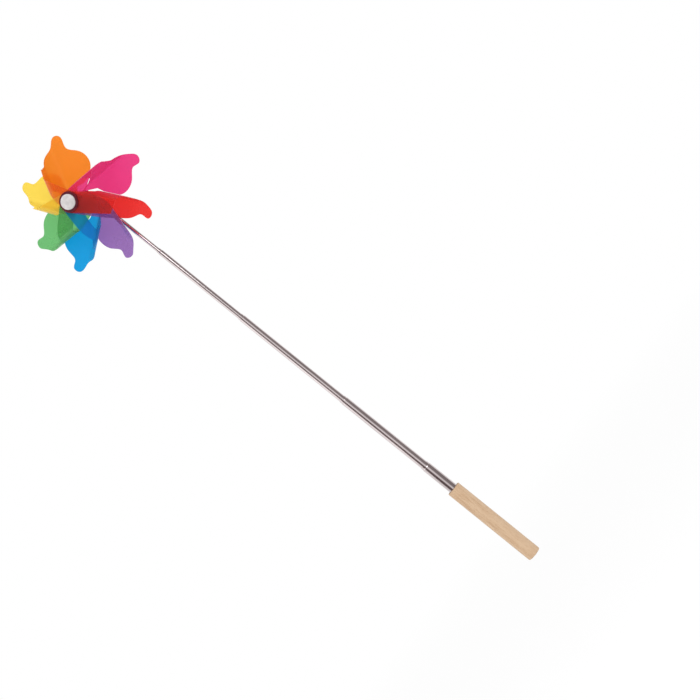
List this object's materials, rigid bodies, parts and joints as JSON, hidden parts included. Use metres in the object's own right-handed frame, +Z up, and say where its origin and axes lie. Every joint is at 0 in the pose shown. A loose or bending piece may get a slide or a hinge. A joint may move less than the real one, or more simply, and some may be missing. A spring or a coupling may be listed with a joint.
{
  "type": "pinwheel",
  "caption": "Hand-held telescopic pinwheel: translucent rolled film petals spin on an axle pin at the tip of a sliding steel rod with a round wooden handle.",
  "frame": {"origin": "centre of the handle's flat bottom end", "axes": "+Z up along the rod from handle to rotor, -Y out of the rotor's front, +X to the right seen from the front"},
  "size_m": [0.1258, 0.0636, 0.5668],
  "materials": {
    "wood": "turned pale beech, thin satin varnish",
    "rod_steel": "bright drawn stainless steel",
    "pin_steel": "plain bright steel",
    "bush_brass": "bare sheet brass",
    "plug_plastic": "moulded, matt",
    "head_plastic": "moulded, satin",
    "sleeve_plastic": "extruded, satin",
    "ring_plastic": "moulded, satin",
    "cap_pearl": "pearly moulded plastic",
    "film_red": "frosted translucent red film",
    "film_violet": "frosted translucent violet film",
    "film_blue": "frosted translucent blue film",
    "film_green": "frosted translucent green film",
    "film_yellow": "frosted translucent yellow film",
    "film_orange": "frosted translucent orange film",
    "film_pink": "frosted translucent pink film"
  },
  "bodies": {
    "handle_body": {"handle": "wood", "base_tube": "rod_steel", "base_plug": "plug_plastic"},
    "bush_2_body": {"bush_2": "bush_brass"},
    "tube_2_body": {"tube_2": "rod_steel"},
    "bush_3_body": {"bush_3": "bush_brass"},
    "tube_3_body": {"tube_3": "rod_steel"},
    "bush_4_body": {"bush_4": "bush_brass"},
    "tube_4_body": {"tube_4": "rod_steel"},
    "bush_tip_body": {"bush_tip": "bush_brass"},
    "tip_body": {"tip_rod": "rod_steel", "head": "head_plastic", "axle_pin": "pin_steel", "rear_cap": "head_plastic", "spacer_bead": "head_plastic", "front_cap": "cap_pearl"},
    "rotor_body": {"hub_sleeve": "sleeve_plastic", "rear_washer": "ring_plastic", "front_washer": "ring_plastic", "petal_red": "film_red", "petal_violet": "film_violet", "petal_blue": "film_blue", "petal_green": "film_green", "petal_yellow": "film_yellow", "petal_orange": "film_orange", "petal_pink": "film_pink"}
  },
  "joints": [
    {"name": "extend_2", "type": "slide", "parent": "handle_body", "child": "bush_2_body", "axis": [0, 0, 1], "range_m": [-0.087, 0.0195]},
    {"name": "swivel_2", "type": "hinge", "parent": "bush_2_body", "child": "tube_2_body", "pos_m": [0, 0, 0.094], "axis": [0, 0, 1], "continuous": true},
    {"name": "extend_3", "type": "slide", "parent": "tube_2_body", "child": "bush_3_body", "axis": [0, 0, 1], "range_m": [-0.112, 0.0005]},
    {"name": "swivel_3", "type": "hinge", "parent": "bush_3_body", "child": "tube_3_body", "pos_m": [0, 0, 0.207], "axis": [0, 0, 1], "continuous": true},
    {"name": "extend_4", "type": "slide", "parent": "tube_3_body", "child": "bush_4_body", "axis": [0, 0, 1], "range_m": [-0.096, 0.0225]},
    {"name": "swivel_4", "type": "hinge", "parent": "bush_4_body", "child": "tube_4_body", "pos_m": [0, 0, 0.304], "axis": [0, 0, 1], "continuous": true},
    {"name": "extend_tip", "type": "slide", "parent": "tube_4_body", "child": "bush_tip_body", "axis": [0, 0, 1], "range_m": [-0.0605, 0.058]},
    {"name": "swivel_tip", "type": "hinge", "parent": "bush_tip_body", "child": "tip_body", "pos_m": [0, 0, 0.3655], "axis": [0, 0, 1], "continuous": true},
    {"name": "rotor_spin", "type": "hinge", "parent": "tip_body", "child": "rotor_body", "pos_m": [0, -0.0335, 0.508], "axis": [0, -1, 0], "continuous": true}
  ]
}
